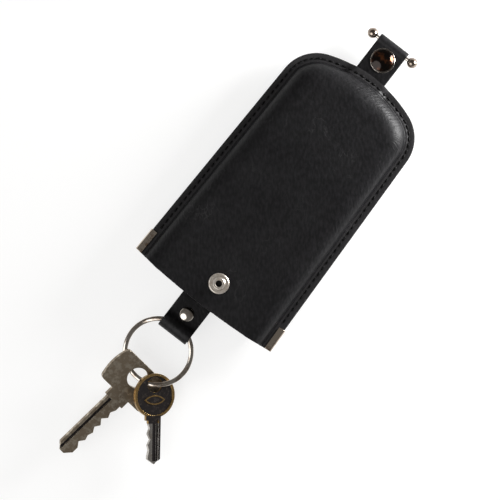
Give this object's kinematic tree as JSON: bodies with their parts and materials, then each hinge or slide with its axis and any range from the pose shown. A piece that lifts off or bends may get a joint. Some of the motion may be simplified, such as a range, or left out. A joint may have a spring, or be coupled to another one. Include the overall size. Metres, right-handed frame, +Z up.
{
  "type": "key case",
  "caption": "Bell-shaped leather key case lying on its back: a strap with a pull bar runs through it and draws a split ring with keys inside, and a press stud closes it.",
  "frame": {"origin": "on the surface the case lies on, under the middle of the back panel", "axes": "+X across the case, +Y from the mouth to the crown, +Z up through the front panel"},
  "size_m": [0.067, 0.2078, 0.0204],
  "materials": {
    "black_leather": "fine-grained black cow leather, moulded, semi-gloss",
    "nickel_sheet": "nickel-plated folded sheet steel, satin",
    "bright_nickel": "bright nickel plate",
    "spring_steel": "plated spring steel, drawn",
    "worn_nickel_silver": "worn nickel silver with fine scratches",
    "worn_brass": "nickel-plated brass, worn to the brass along its rim"
  },
  "bodies": {
    "pouch": {"front_panel": "black_leather", "back_panel": "black_leather", "left_corner_clip": "nickel_sheet", "right_corner_clip": "nickel_sheet", "snap_stud": "bright_nickel", "stud_eyelet": "bright_nickel"},
    "strap": {"strap": "black_leather", "loop_rivet_cap": "bright_nickel", "loop_rivet_post": "bright_nickel", "snap_cap": "bright_nickel", "snap_socket": "bright_nickel", "socket_spring": "spring_steel"},
    "pull_bar": {"pull_bar_rod": "spring_steel", "left_bar_ball": "bright_nickel", "right_bar_ball": "bright_nickel"},
    "ring": {"split_ring": "spring_steel"},
    "door_key": {"door_key": "worn_nickel_silver"},
    "small_key": {"small_key": "worn_brass"}
  },
  "joints": [
    {"name": "strap_slide", "type": "slide", "parent": "pouch", "child": "strap", "axis": [0, 1, 0], "range_m": [-0.002, 0.1]},
    {"name": "pull_bar_spin", "type": "hinge", "parent": "strap", "child": "pull_bar", "pos_m": [-0.0016, 0.07, 0.0089], "axis": [1, 0, 0], "continuous": true},
    {"name": "ring_swing", "type": "hinge", "parent": "strap", "child": "ring", "pos_m": [-0.0016, -0.0692, 0.0089], "axis": [1, 0, 0], "range_deg": [-120, 0]},
    {"name": "door_key_round_ring", "type": "hinge", "parent": "ring", "child": "door_key", "pos_m": [-0.0016, -0.08122, 0.0089], "axis": [0, 0, 1], "range_deg": [-60, 0]},
    {"name": "small_key_round_ring", "type": "hinge", "parent": "ring", "child": "small_key", "pos_m": [-0.0016, -0.08122, 0.0089], "axis": [0, 0, -1], "range_deg": [-60, 0]}
  ]
}
